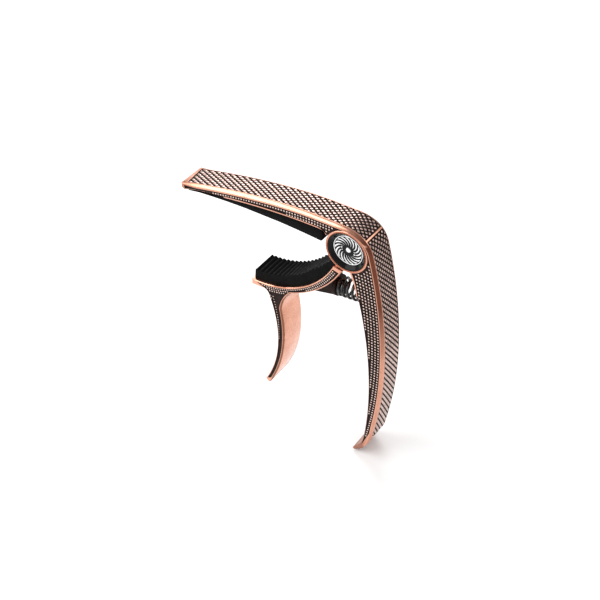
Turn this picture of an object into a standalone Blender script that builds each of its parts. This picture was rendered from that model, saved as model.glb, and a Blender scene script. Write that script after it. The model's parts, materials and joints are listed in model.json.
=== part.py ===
"""Trigger capo for a guitar: cast upper frame and lower arm that turn on one pin, two pads and a spring.

Frame of the part: the origin is the crown of the string pad's pressing face, half way across the width.
+X runs across the neck towards the pivot, +Y along the neck towards the body, +Z away from the strings.
The jaws stand as they do on a neck. All sizes are in metres, and angles are in degrees.
"""

import math

import bmesh
import bpy
from mathutils import Matrix, Vector

MM = 0.001

# Driving sizes of the upper frame: the bar over the strings and the handle behind the pivot
BODY_WIDTH = 10.7 * MM
PIVOT_X = 31.5 * MM
PIVOT_Z = -0.1 * MM
BAR_REACH = 63.7 * MM  # pivot to the bar's tip
BAR_CROWN_Z = 8.55 * MM  # highest point of the bar's top
BAR_CROWN_BACK = 11.5 * MM  # pivot to the highest point
BAR_TIP_DROP = 7.75 * MM  # how far the top falls towards the tip
BAR_TOP_POWER = 1.65
BAR_UNDER_Z = 4.5 * MM  # highest point of the underside
BAR_UNDER_DROP = 5.7 * MM
BAR_UNDER_POWER = 1.85
HANDLE_LENGTH = 85.5 * MM  # pivot to the lowest point of the hook
HANDLE_OUT = 13.85 * MM  # pivot to the handle's outermost line
HANDLE_WAIST = 5.2 * MM  # thickness between the handle's two arcs
HANDLE_OUTER_RADIUS = 170 * MM
HANDLE_OUTER_BELLY = 39.6 * MM  # how far below the pivot the outer arc stands out most
HANDLE_INNER_RADIUS = 165 * MM
HANDLE_INNER_BELLY = 54.6 * MM
HOOK_REACH = 11.0 * MM  # how far the hook turns in from the outermost line
OUTER_CHAMFER = 1.05 * MM  # smooth band along the bar's top edges and the handle's outer edges
INNER_CHAMFER = 0.3 * MM
CHAMFER_FADE_HOOK = 16 * MM  # the outer chamfer fades out over this stretch
CHAMFER_FADE_TIP = 8 * MM

# Boss, badges and the joint's stack, from the boss's face inwards
BOSS_RADIUS = 7.37 * MM
BOSS_PROUD = 0.15 * MM
BOSS_RIM = 0.7 * MM  # wall between the boss's edge and the badge pocket
BADGE_BORDER = 1.53 * MM  # badge edge to rosette edge
BADGE_CUP_DEPTH = 1.1 * MM  # rim to the rosette's face
BADGE_LIP = 0.35 * MM  # flat edge round the cup's flare
ROSETTE_THICKNESS = 0.3 * MM
BEZEL_FLOOR = 0.4 * MM
PIN_RADIUS = 1.75 * MM
PIN_HEAD_OVERHANG = 1.15 * MM
PIN_HEAD_THICKNESS = 0.55 * MM
EAR_WALL = 0.75 * MM  # metal between the pin's head seat and the knuckle slot
WASHER_THICKNESS = 0.3 * MM
WASHER_OVERHANG = 2.65 * MM
BUSH_WALL = 0.7 * MM
KNUCKLE_RADIUS = 5.2 * MM

# Lower arm: cradle, knuckle neck, spring bracket and trigger
CRADLE_RADIUS = 34.1 * MM  # face that carries the neck pad
CRADLE_OFFSET = 2.12 * MM  # how far outside that face the pivot lies
CRADLE_BEARING = 168.53  # direction from the pivot to the cradle's centre
CRADLE_WALL = 2.1 * MM
CRADLE_HEEL_WALL = 3.2 * MM  # wall at the end next to the boss
CRADLE_END = -92  # direction from the cradle's centre to its free end
CRADLE_LANDING = -84  # where the back of the trigger meets the cradle
CRADLE_ROOT = -67  # where the front of the trigger meets the cradle
HEEL_GAP = 1.9 * MM  # between the boss and the arm's heel
NECK_WIDTH = 2.8 * MM
TRIGGER_LENGTH = 71.5 * MM  # pivot to the trigger's tip
TRIGGER_BACK = 27.3 * MM  # pivot to the outermost line of the trigger's back face
TRIGGER_BELLY = 44.5 * MM  # how far below the pivot the front face stands out most
TRIGGER_THICKNESS = 2.8 * MM
TRIGGER_BACK_RADIUS = 50 * MM
TRIGGER_FRONT_RADIUS = 57 * MM
BRACKET_WIDTH = 4.5 * MM

# Limits of the jaw about the pivot
JAW_CLOSES = 25
JAW_OPENS = 16
SWEEP_MARGIN = 22  # room in the slot at each end of the knuckle neck's sweep

# Pads
PAD_WIDTH = 8.9 * MM
PAD_CAMBER = 260 * MM  # radius of the pressing face, as a fretboard's
PAD_FLAT = 12 * MM  # flat at the middle of the pressing face
PAD_TIP_SETBACK = 2.4 * MM
PAD_BOSS_GAP = 1.5 * MM
RAIL_WIDTH = 5.0 * MM
RAIL_HEIGHT = 0.8 * MM
NECK_PAD_THICKNESS = 4.0 * MM
NECK_PAD_THINNING = 2.1 * MM  # how much thinner the pad is at the heel
NECK_PAD_THINS_FROM = -42  # direction from the cradle's centre
NECK_PAD_RIB = 0.55 * MM
NECK_PAD_RIB_PITCH = 1.7 * MM

# Spring and its two seats
SPRING_RADIUS = 3.4 * MM
SPRING_WIRE = 0.95 * MM
SPRING_TURNS = 5.9
SPRING_CLOSED_TURNS = 0.7  # turns at each end that lie almost flat
SPRING_CLOSED_GAP = 0.12 * MM
SPRING_TILT = 5  # the handle's end is the higher one
SPRING_DROP = 18.5 * MM  # pivot down to the middle of the spring
SPRING_SEAT_BACK = 5.5 * MM  # pivot to the face of the arm's seat
SPRING_SEAT_THICKNESS = 1.1 * MM
SPRING_POCKET_DEPTH = 1.3 * MM
SPIGOT_LENGTH = 1.6 * MM
SPIGOT_CLEARANCE = 0.45 * MM

# Clearances
GAP = 0.2 * MM  # between pieces that are fixed to each other
RUNNING = 0.1 * MM  # between pieces that turn on each other

# Worked out from the sizes above
PIVOT = (PIVOT_X, PIVOT_Z)
HALF = BODY_WIDTH / 2
BOSS_HALF = HALF + BOSS_PROUD
BADGE_RADIUS = BOSS_RADIUS - BOSS_RIM
ROSETTE_RADIUS = BADGE_RADIUS - BADGE_BORDER
POCKET_FLOOR = BOSS_HALF - BADGE_CUP_DEPTH - ROSETTE_THICKNESS - BEZEL_FLOOR - GAP
PIN_HEAD_RADIUS = PIN_RADIUS + PIN_HEAD_OVERHANG
HEAD_SEAT = POCKET_FLOOR - PIN_HEAD_THICKNESS - GAP / 2
SLOT_HALF = HEAD_SEAT - EAR_WALL
KNUCKLE_HALF = SLOT_HALF - WASHER_THICKNESS - 2 * RUNNING
CRADLE_CENTRE = (
    PIVOT_X + (CRADLE_RADIUS + CRADLE_OFFSET) * math.cos(math.radians(CRADLE_BEARING)),
    PIVOT_Z + (CRADLE_RADIUS + CRADLE_OFFSET) * math.sin(math.radians(CRADLE_BEARING)),
)
SPRING_Z = PIVOT_Z - SPRING_DROP
SPRING_SEAT_X = PIVOT_X - SPRING_SEAT_BACK
SPIGOT_RADIUS = SPRING_RADIUS - SPRING_WIRE - SPIGOT_CLEARANCE
BAR_TIP_X = PIVOT_X - BAR_REACH

ROUND = 48  # sides of a round piece
ROUND_LARGE = 72  # sides of the boss and of what fits in it
OVERSHOOT = 1 * MM  # how far a cutter runs past what it cuts


def fresh_collections():
    for old in list(bpy.data.objects):
        bpy.data.objects.remove(old, do_unlink=True)
    parts = bpy.data.collections.new("guitar_capo")
    cutters = bpy.data.collections.new("cutters")
    bpy.context.scene.collection.children.link(parts)
    bpy.context.scene.collection.children.link(cutters)
    cutters.hide_render = True
    return parts, cutters


PARTS, CUTTERS = fresh_collections()


def finish(name, colour, roughness, metallic):
    material = bpy.data.materials.new(name)
    material.use_nodes = True
    shader = material.node_tree.nodes["Principled BSDF"]
    shader.inputs["Base Color"].default_value = (*colour, 1)
    shader.inputs["Roughness"].default_value = roughness
    shader.inputs["Metallic"].default_value = metallic
    return material


# Points of outlines, in X and Z


def stations(start, end, steps):
    return [start + (end - start) * i / steps for i in range(steps + 1)]


def on_circle(centre, radius, angle):
    return (
        centre[0] + radius * math.cos(math.radians(angle)),
        centre[1] + radius * math.sin(math.radians(angle)),
    )


def arc(centre, radius, start, end, steps):
    """Points on an arc, with angles from +X towards +Z."""
    return [on_circle(centre, radius, angle) for angle in stations(start, end, steps)]


def bend(start, corner, end, steps):
    """The points between start and end of a smooth bend that heads for the corner."""
    points = []
    for i in range(1, steps):
        t = i / steps
        ways = zip(start, corner, end)
        points.append(tuple((1 - t) ** 2 * a + 2 * t * (1 - t) * b + t**2 * c for a, b, c in ways))
    return points


# Solids


def mesh_object(name, mesh, material=None):
    obj = bpy.data.objects.new(name, mesh)
    if material is None:
        CUTTERS.objects.link(obj)
        obj.hide_render = True
        obj.display_type = "WIRE"
    else:
        PARTS.objects.link(obj)
        mesh.materials.append(material)
    return obj


def from_bmesh(name, shape, material=None):
    mesh = bpy.data.meshes.new(name)
    shape.to_mesh(mesh)
    shape.free()
    return mesh_object(name, mesh, material)


def plate(name, outline, half_width, material=None):
    """A flat outline in X and Z, as thick as twice half_width along Y, with each side one polygon."""
    curve = bpy.data.curves.new(name, "CURVE")
    curve.dimensions = "2D"
    curve.fill_mode = "BOTH"
    curve.extrude = half_width
    spline = curve.splines.new("POLY")
    spline.points.add(len(outline) - 1)
    for point, (x, z) in zip(spline.points, outline):
        point.co = (x, z, 0, 1)
    spline.use_cyclic_u = True
    guide = bpy.data.objects.new(name + "_guide", curve)
    CUTTERS.objects.link(guide)
    mesh = bpy.data.meshes.new_from_object(guide.evaluated_get(bpy.context.evaluated_depsgraph_get()))
    bpy.data.objects.remove(guide)
    shape = bmesh.new()
    shape.from_mesh(mesh)
    bpy.data.meshes.remove(mesh)
    bmesh.ops.remove_doubles(shape, verts=shape.verts, dist=MM / 1000)
    bmesh.ops.transform(shape, matrix=Matrix.Rotation(math.pi / 2, 4, "X"), verts=shape.verts)
    cap_edges = {edge for face in shape.faces if abs(face.normal.y) > 0.9 for edge in face.edges}
    bmesh.ops.dissolve_limit(shape, angle_limit=math.radians(0.5), verts=[], edges=list(cap_edges))
    bmesh.ops.recalc_face_normals(shape, faces=shape.faces)
    return from_bmesh(name, shape, material)


def disc(name, radius, low, high, material=None, sides=ROUND):
    """A round piece about the pivot's line, from low to high along Y."""
    shape = bmesh.new()
    bmesh.ops.create_cone(
        shape, cap_ends=True, segments=sides, radius1=radius, radius2=radius, depth=high - low
    )
    place = Matrix.Translation((PIVOT_X, (low + high) / 2, PIVOT_Z)) @ Matrix.Rotation(math.pi / 2, 4, "X")
    bmesh.ops.transform(shape, matrix=place, verts=shape.verts)
    return from_bmesh(name, shape, material)


def boolean(obj, operation, *others):
    for other in others:
        modifier = obj.modifiers.new(operation.lower(), "BOOLEAN")
        modifier.operation = operation
        modifier.solver = "EXACT"
        modifier.object = other


def ring(name, inner, outer, low, high, material):
    piece = disc(name, outer, low, high, material)
    boolean(piece, "DIFFERENCE", disc(name + "_hole", inner, low - OVERSHOOT, high + OVERSHOOT))
    return piece


def chamfer(obj, width_at):
    """Chamfers the edges round both flat sides. width_at takes an edge's middle and its side's normal."""
    shape = bmesh.new()
    shape.from_mesh(obj.data)
    weight = shape.edges.layers.float.new("bevel_weight_edge")
    for edge in shape.edges:
        sides = [face for face in edge.link_faces if abs(face.normal.y) < 0.5]
        if len(sides) == 1:
            middle = (edge.verts[0].co + edge.verts[1].co) / 2
            edge[weight] = width_at(middle, sides[0].normal) / OUTER_CHAMFER
    shape.to_mesh(obj.data)
    shape.free()
    modifier = obj.modifiers.new("edge_chamfer", "BEVEL")
    modifier.width = OUTER_CHAMFER
    modifier.segments = 1
    modifier.limit_method = "WEIGHT"
    modifier.use_clamp_overlap = False


# Upper frame


def bar_fall(x, tip):
    """0 at the bar's highest point, 1 at the tip."""
    crown = PIVOT_X - BAR_CROWN_BACK
    return max(0, (crown - x) / (crown - tip))


def bar_top(x):
    return BAR_CROWN_Z - BAR_TIP_DROP * bar_fall(x, BAR_TIP_X) ** BAR_TOP_POWER


def bar_underside(x):
    return BAR_UNDER_Z - BAR_UNDER_DROP * bar_fall(x, BAR_TIP_X + 2 * MM) ** BAR_UNDER_POWER


def on_handle_arc(z, out, radius, belly):
    return PIVOT_X + out - radius + math.sqrt(radius**2 - (z - PIVOT_Z + belly) ** 2)


def handle_outer(z):
    return on_handle_arc(z, HANDLE_OUT, HANDLE_OUTER_RADIUS, HANDLE_OUTER_BELLY)


def handle_inner(z):
    return on_handle_arc(z, HANDLE_OUT - HANDLE_WAIST, HANDLE_INNER_RADIUS, HANDLE_INNER_BELLY)


def hook_outline(outer_low, inner_low):
    """From the end of the handle's outer arc, round the hook, to the start of its inner arc."""
    toe_z = PIVOT_Z - HANDLE_LENGTH
    tip_x = PIVOT_X + HANDLE_OUT - HOOK_REACH
    toe = (tip_x + 0.7 * MM, toe_z)
    tip = (tip_x + 0.5 * MM, toe_z + 1.5 * MM)
    points = bend(outer_low, (outer_low[0] - 1.9 * MM, toe_z + 2 * MM), toe, 6)
    points += [toe, (tip_x, toe_z + 0.5 * MM), tip]
    return points + bend(tip, (inner_low[0] - 0.8 * MM, toe_z + 4.2 * MM), inner_low, 6)


def handle_root_outline(ledge):
    """The small step where the handle's inner face meets the boss, and the way in under the boss."""
    step = (ledge[0] - 0.8 * MM, ledge[1] + MM)
    root = (PIVOT_X + 1.2 * MM, PIVOT_Z - 8.2 * MM)
    points = [step] + bend(step, (PIVOT_X + 2.9 * MM, PIVOT_Z - 11 * MM), root, 4)
    inside = PIVOT_X - BOSS_RADIUS * 0.6
    points += [(PIVOT_X, PIVOT_Z - BOSS_RADIUS * 0.68), (inside, PIVOT_Z)]
    return points + [(inside, BAR_UNDER_Z - 0.6 * MM)]


def underside_outline():
    """From the fillet next to the boss, along the bar's underside, to its tip."""
    fillet = (PIVOT_X - BOSS_RADIUS - 0.1 * MM, BAR_UNDER_Z - 1.3 * MM)
    points = [fillet]
    points += bend(fillet, (fillet[0] - 0.6 * MM, BAR_UNDER_Z), (fillet[0] - 2.6 * MM, BAR_UNDER_Z), 4)
    points += [(x, bar_underside(x)) for x in stations(fillet[0] - 3.2 * MM, BAR_TIP_X + 1.7 * MM, 14)]
    tip_z = bar_top(BAR_TIP_X)
    return points + [(BAR_TIP_X + 0.5 * MM, tip_z - 1.5 * MM), (BAR_TIP_X, tip_z - 0.7 * MM)]


def frame_outline():
    points = [(x, bar_top(x)) for x in stations(BAR_TIP_X + 0.4 * MM, PIVOT_X - 2.5 * MM, 16)]
    shoulder_z = PIVOT_Z + 0.8 * MM
    shoulder = (handle_outer(shoulder_z), shoulder_z)
    points += bend(points[-1], (shoulder[0] - 1.6 * MM, BAR_CROWN_Z - 0.1 * MM), shoulder, 7)
    outer_low_z = PIVOT_Z - HANDLE_LENGTH + 8.5 * MM
    points += [(handle_outer(z), z) for z in stations(shoulder_z, outer_low_z, 14)]
    inner_low_z = PIVOT_Z - HANDLE_LENGTH + 10 * MM
    points += hook_outline(points[-1], (handle_inner(inner_low_z), inner_low_z))
    ledge_z = PIVOT_Z - 16.4 * MM
    points += [(handle_inner(z), z) for z in stations(inner_low_z, ledge_z, 12)]
    points += handle_root_outline(points[-1])
    return points + underside_outline()


def frame_chamfer(middle, normal):
    """The wide outer chamfer, which fades out before the hook and at the bar's tip."""
    on_top = normal.z > 0.7 and middle.z > BAR_CROWN_Z - BAR_TIP_DROP
    if normal.x < 0.15 and not on_top:
        return INNER_CHAMFER
    from_hook = (middle.z - PIVOT_Z + HANDLE_LENGTH) / CHAMFER_FADE_HOOK
    from_tip = (middle.x - BAR_TIP_X) / CHAMFER_FADE_TIP
    share = min(1, max(0, from_hook), max(0, from_tip))
    return INNER_CHAMFER + (OUTER_CHAMFER - INNER_CHAMFER) * share


def rail_span():
    return BAR_TIP_X + 5 * MM, PIVOT_X - BOSS_RADIUS - 4 * MM


def rail_channel():
    """The groove in the bar's underside that the string pad's rail sits in."""
    points = [(x, bar_underside(x) + RAIL_HEIGHT + GAP) for x in stations(*rail_span(), 12)]
    points += [(x, bar_underside(x) - 2 * OVERSHOOT) for x in stations(*reversed(rail_span()), 12)]
    return plate("rail_channel", points, RAIL_WIDTH / 2 + GAP)


def slot_mouth():
    """The opening of the boss that the knuckle's neck sweeps through."""
    low = neck_direction() - JAW_CLOSES - SWEEP_MARGIN
    high = neck_direction() + JAW_OPENS + SWEEP_MARGIN
    rim = arc(PIVOT, BOSS_RADIUS + 2.4 * MM, low, high, 10)
    return plate("slot_mouth", [PIVOT] + rim, SLOT_HALF - GAP / 2)


def upper_frame(copper):
    body = plate("upper_frame", frame_outline(), HALF, copper)
    chamfer(body, frame_chamfer)
    boolean(body, "UNION", disc("boss", BOSS_RADIUS, -BOSS_HALF, BOSS_HALF, sides=ROUND_LARGE))
    past = BOSS_HALF + OVERSHOOT
    boolean(
        body,
        "DIFFERENCE",
        disc("pocket_near", BADGE_RADIUS, -past, -POCKET_FLOOR, sides=ROUND_LARGE),
        disc("pocket_far", BADGE_RADIUS, POCKET_FLOOR, past, sides=ROUND_LARGE),
        disc("head_seat_near", PIN_HEAD_RADIUS + GAP, -past, -HEAD_SEAT),
        disc("head_seat_far", PIN_HEAD_RADIUS + GAP, HEAD_SEAT, past),
        disc("pin_hole", PIN_RADIUS + GAP / 2, -HALF, HALF),
        disc("knuckle_slot", KNUCKLE_RADIUS + 2 * GAP, -SLOT_HALF, SLOT_HALF),
        slot_mouth(),
        rail_channel(),
        spring_pocket(),
    )
    return body


# Spring seats, on the spring's own tilted line


def pocket_floor_x():
    return handle_inner(SPRING_Z) + SPRING_POCKET_DEPTH


def spring_place():
    """Puts a shape made along X, about the spring's middle, on the spring's tilted line."""
    middle = (SPRING_SEAT_X + pocket_floor_x()) / 2
    return Matrix.Translation((middle, 0, SPRING_Z)) @ Matrix.Rotation(-math.radians(SPRING_TILT), 4, "Y")


def on_spring_line(name, radius, low, high, sides=32):
    """A round piece on the spring's line, from low to high in X."""
    shape = bmesh.new()
    bmesh.ops.create_cone(
        shape, cap_ends=True, segments=sides, radius1=radius, radius2=radius, depth=high - low
    )
    middle = (SPRING_SEAT_X + pocket_floor_x()) / 2
    along = Matrix.Translation(((low + high) / 2 - middle, 0, 0)) @ Matrix.Rotation(math.pi / 2, 4, "Y")
    bmesh.ops.transform(shape, matrix=spring_place() @ along, verts=shape.verts)
    return from_bmesh(name, shape)


def spring_pocket():
    floor = pocket_floor_x()
    return on_spring_line("spring_pocket", SPRING_RADIUS + 2 * GAP, floor - 6 * OVERSHOOT, floor)


# Lower arm


def cradle_point(radius, angle):
    return on_circle(CRADLE_CENTRE, radius, angle)


def heel_angle():
    """Direction from the cradle's centre at which the arm's heel clears the boss by HEEL_GAP."""
    angle = -60
    while math.dist(cradle_point(CRADLE_RADIUS, angle), PIVOT) > BOSS_RADIUS + HEEL_GAP and angle < 0:
        angle += 0.25
    return angle


HEEL = heel_angle()


def neck_end():
    """Where the knuckle's neck enters the arm's heel."""
    return cradle_point(CRADLE_RADIUS + CRADLE_HEEL_WALL / 2, HEEL - 3)


def neck_direction():
    end = neck_end()
    return math.degrees(math.atan2(end[1] - PIVOT_Z, end[0] - PIVOT_X))


def heel_outline():
    """The cradle's back, from the heel to the root of the trigger."""
    first = HEEL + 1.5
    points = []
    for share in stations(0, 1, 12):
        wall = CRADLE_HEEL_WALL + (CRADLE_WALL - CRADLE_HEEL_WALL) * share**0.8
        points.append(cradle_point(CRADLE_RADIUS + wall, first + (CRADLE_ROOT - first) * share))
    return points


def trigger_outline(root):
    """Down the trigger's front face and up its back, from the root to the cradle."""
    belly = PIVOT_Z - TRIGGER_BELLY
    tip_z = PIVOT_Z - TRIGGER_LENGTH
    back_line = PIVOT_X - TRIGGER_BACK

    def front(z):
        rise = math.sqrt(TRIGGER_FRONT_RADIUS**2 - (z - belly) ** 2)
        return back_line + TRIGGER_THICKNESS - TRIGGER_FRONT_RADIUS + rise

    def back(z):
        rise = math.sqrt(TRIGGER_BACK_RADIUS**2 - (z - belly + 2.6 * MM) ** 2)
        return back_line - TRIGGER_BACK_RADIUS + rise

    top_z = belly + 9.5 * MM
    top = (front(top_z), top_z)
    points = bend(root, (top[0] + 0.9 * MM, top_z + 5.5 * MM), top, 5)
    points += [(front(z), z) for z in stations(top_z, tip_z, 14)]
    points += [(points[-1][0] - 0.9 * MM, tip_z - 0.7 * MM)]
    points += [(back(z), z) for z in stations(tip_z + 0.4 * MM, belly + 12.5 * MM, 14)]
    landing = cradle_point(CRADLE_RADIUS + CRADLE_WALL, CRADLE_LANDING)
    return points + bend(points[-1], (points[-1][0] - 0.5 * MM, landing[1] - 0.4 * MM), landing, 5)


def arm_outline():
    points = arc(CRADLE_CENTRE, CRADLE_RADIUS, CRADLE_END, HEEL, 18)
    points += heel_outline()
    points += trigger_outline(points[-1])
    return points + arc(CRADLE_CENTRE, CRADLE_RADIUS + CRADLE_WALL, CRADLE_LANDING, CRADLE_END, 3)


def knuckle_neck():
    along = Vector(neck_end()) - Vector(PIVOT)
    side = Vector((-along.y, along.x)).normalized() * NECK_WIDTH / 2
    corners = [Vector(PIVOT) + side, Vector(PIVOT) - side]
    corners += [Vector(neck_end()) - side, Vector(neck_end()) + side]
    return plate("knuckle_neck", [tuple(corner) for corner in corners], KNUCKLE_HALF - GAP)


def spring_bracket():
    """The web that carries the spring's seat on the back of the cradle."""
    inside = CRADLE_RADIUS + CRADLE_WALL / 2
    seat_middle = SPRING_SEAT_X - SPRING_SEAT_THICKNESS / 2
    low = SPRING_Z - SPRING_RADIUS + 0.2 * MM
    points = [(seat_middle, SPRING_Z + SPRING_RADIUS * 0.6)]
    points += [cradle_point(inside, angle) for angle in (-36, -48, -62)]
    points += [(seat_middle - 8.5 * MM, low - 2.1 * MM), (seat_middle, low)]
    return plate("spring_bracket", points, BRACKET_WIDTH / 2)


def lower_arm(copper):
    body = plate("lower_arm", arm_outline(), HALF, copper)
    chamfer(body, lambda middle, normal: INNER_CHAMFER)
    seat_back = SPRING_SEAT_X - SPRING_SEAT_THICKNESS
    boolean(
        body,
        "UNION",
        disc("knuckle", KNUCKLE_RADIUS, -KNUCKLE_HALF, KNUCKLE_HALF),
        knuckle_neck(),
        spring_bracket(),
        on_spring_line("spring_seat", SPRING_RADIUS + GAP, seat_back, SPRING_SEAT_X),
        on_spring_line("spring_spigot", SPIGOT_RADIUS, seat_back + GAP, SPRING_SEAT_X + SPIGOT_LENGTH),
    )
    boolean(body, "DIFFERENCE", disc("bush_bore", PIN_RADIUS + RUNNING + BUSH_WALL + GAP, -HALF, HALF))
    return body


# Pads


def string_pad(silicone):
    """Fills the bar's underside and presses on the strings with a cambered face."""
    left = BAR_TIP_X + PAD_TIP_SETBACK
    right = PIVOT_X - BOSS_RADIUS - PAD_BOSS_GAP
    flat = PAD_FLAT / 2

    def face(x):
        return -max(0, x**2 - flat**2) / (2 * PAD_CAMBER)

    points = [(x, bar_underside(x) - GAP) for x in stations(left, right - 1.6 * MM, 14)]
    points += [(right, BAR_UNDER_Z - 2.4 * MM)]
    points += [(x, face(x)) for x in stations(right - 0.6 * MM, flat, 5)]
    points += [(x, face(x)) for x in stations(-flat, left + 0.5 * MM, 8)]
    pad = plate("string_pad", points, PAD_WIDTH / 2, silicone)
    start, end = rail_span()
    low, high = start + GAP, end - GAP
    rail = [(x, bar_underside(x) + RAIL_HEIGHT) for x in stations(low, high, 12)]
    rail += [(x, bar_underside(x) - GAP - 0.3 * MM) for x in stations(high, low, 12)]
    boolean(pad, "UNION", plate("pad_rail", rail, RAIL_WIDTH / 2))
    return pad


def neck_pad(silicone):
    """A curved strip with ribs across it, which thins towards the heel as the neck's side straightens."""
    crest = CRADLE_RADIUS - NECK_PAD_THICKNESS
    start = CRADLE_END + 1.5
    end = HEEL + 1
    points = arc(CRADLE_CENTRE, CRADLE_RADIUS - GAP, start, end, 18)
    pitch = math.degrees(NECK_PAD_RIB_PITCH / crest)
    ribs = int((end - start) / pitch)
    for i in range(ribs * 4 + 1):
        angle = end - i * pitch / 4
        thinning = max(0, (angle - NECK_PAD_THINS_FROM) / (end - NECK_PAD_THINS_FROM)) * NECK_PAD_THINNING
        valley = NECK_PAD_RIB if i % 4 in (0, 3) else 0
        points.append(cradle_point(crest + thinning + valley, angle))
    return plate("neck_pad", points, PAD_WIDTH / 2, silicone)


# Pivot: pin, its retaining ring, the bush, two washers and two badges


def pivot_pin(steel):
    tail = HEAD_SEAT + PIN_HEAD_THICKNESS
    pin = disc("pivot_pin", PIN_RADIUS, -tail, HEAD_SEAT + GAP, steel)
    boolean(pin, "UNION", disc("pin_head", PIN_HEAD_RADIUS, HEAD_SEAT + GAP / 4, tail))
    ring("pin_retaining_ring", PIN_RADIUS + GAP / 4, PIN_HEAD_RADIUS, -tail, -HEAD_SEAT - GAP / 4, steel)


def bearings(bronze, nylon):
    """Returns the bush, which turns with the arm. The washers stay in the frame's slot."""
    inner = PIN_RADIUS + RUNNING
    for side, label in ((-1, "near"), (1, "far")):
        face = side * (SLOT_HALF - RUNNING)
        low, high = sorted((face, face - side * WASHER_THICKNESS))
        ring("thrust_washer_" + label, PIN_RADIUS + GAP, PIN_RADIUS + WASHER_OVERHANG, low, high, nylon)
    return ring("pivot_bush", inner, inner + BUSH_WALL, -KNUCKLE_HALF, KNUCKLE_HALF, bronze)


def turned(name, profile, material):
    """A closed profile of (radius, Y) points that starts and ends on the pivot's line, turned about it."""
    shape = bmesh.new()
    points = [shape.verts.new((PIVOT_X + radius, y, PIVOT_Z)) for radius, y in profile]
    edges = [shape.edges.new(pair) for pair in zip(points, points[1:])]
    bmesh.ops.spin(
        shape,
        geom=points + edges,
        cent=(PIVOT_X, 0, PIVOT_Z),
        axis=(0, 1, 0),
        angle=math.tau,
        steps=ROUND_LARGE,
        use_merge=True,
    )
    bmesh.ops.remove_doubles(shape, verts=shape.verts, dist=MM / 1000)
    bmesh.ops.recalc_face_normals(shape, faces=shape.faces)
    return from_bmesh(name, shape, material)


def badge(side, label, black, silver):
    """The black cup and the silver disc that cover one end of the pin. side is -1 near, 1 far."""
    face = side * (BOSS_HALF - BADGE_CUP_DEPTH)
    well_floor = face - side * (ROSETTE_THICKNESS + GAP / 2)
    back = well_floor - side * BEZEL_FLOOR
    rim = side * (BOSS_HALF - GAP / 2)
    outer = BADGE_RADIUS - GAP / 2
    well = ROSETTE_RADIUS + GAP / 2
    cup = [(0, back), (outer, back), (outer, rim), (outer - BADGE_LIP, rim)]
    cup += [(well, face), (well, well_floor), (0, well_floor)]
    turned("badge_bezel_" + label, cup, black)
    rosette_back = well_floor + side * GAP / 2
    rosette = [(0, rosette_back), (ROSETTE_RADIUS, rosette_back), (ROSETTE_RADIUS, face), (0, face)]
    turned("badge_rosette_" + label, rosette, silver)


# Spring


def clamp_spring(black_steel):
    """A compression spring between the arm's seat and the handle's pocket, with closed ends."""
    curve = bpy.data.curves.new("clamp_spring", "CURVE")
    curve.dimensions = "3D"
    curve.bevel_depth = SPRING_WIRE / 2
    curve.bevel_resolution = 2
    curve.use_fill_caps = True
    curve.materials.append(black_steel)
    start = SPRING_SEAT_X + GAP + SPRING_WIRE / 2
    end = pocket_floor_x() - GAP - SPRING_WIRE / 2
    middle = (SPRING_SEAT_X + pocket_floor_x()) / 2
    closed = SPRING_CLOSED_TURNS
    closed_pitch = SPRING_WIRE + SPRING_CLOSED_GAP
    open_pitch = (end - start - 2 * closed * closed_pitch) / (SPRING_TURNS - 2 * closed)
    radius = SPRING_RADIUS - SPRING_WIRE / 2
    count = int(SPRING_TURNS * 16)
    spline = curve.splines.new("POLY")
    spline.points.add(count)
    for point, turns in zip(spline.points, stations(0, SPRING_TURNS, count)):
        flat = min(turns, closed) + max(0, turns - SPRING_TURNS + closed)
        x = start + flat * closed_pitch + (turns - flat) * open_pitch
        angle = 2 * math.pi * turns
        spot = spring_place() @ Vector((x - middle, -radius * math.sin(angle), radius * math.cos(angle)))
        point.co = (*spot, 1)
    spring = bpy.data.objects.new("clamp_spring", curve)
    PARTS.objects.link(spring)
    return spring


def hang_on_pivot(*pieces):
    """Parents the pieces that turn with the jaw to an empty on the pivot's line."""
    jaw = bpy.data.objects.new("jaw_pivot", None)
    jaw.location = (PIVOT_X, 0, PIVOT_Z)
    jaw.empty_display_size = BOSS_RADIUS
    PARTS.objects.link(jaw)
    for piece in pieces:
        piece.parent = jaw
        piece.matrix_parent_inverse = Matrix.Translation(-jaw.location)


def build():
    copper = finish("antique_copper", (0.47, 0.24, 0.18), 0.38, 1.0)
    silicone = finish("black_silicone", (0.02, 0.02, 0.02), 0.6, 0.0)
    black = finish("black_enamel", (0.012, 0.012, 0.014), 0.3, 0.0)
    silver = finish("silver_plate", (0.8, 0.8, 0.8), 0.25, 1.0)
    steel = finish("bright_steel", (0.6, 0.6, 0.6), 0.3, 1.0)
    bronze = finish("bronze", (0.5, 0.33, 0.15), 0.4, 1.0)
    nylon = finish("white_nylon", (0.75, 0.75, 0.72), 0.5, 0.0)
    black_steel = finish("black_spring_steel", (0.03, 0.03, 0.03), 0.3, 1.0)
    upper_frame(copper)
    string_pad(silicone)
    arm = lower_arm(copper)
    arm_pad = neck_pad(silicone)
    pivot_pin(steel)
    bush = bearings(bronze, nylon)
    badge(-1, "near", black, silver)
    badge(1, "far", black, silver)
    clamp_spring(black_steel)
    hang_on_pivot(arm, arm_pad, bush)


build()
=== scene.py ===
import json
import math

import bmesh
import bpy
import numpy as np
from mathutils import Euler, Matrix, Vector


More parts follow.
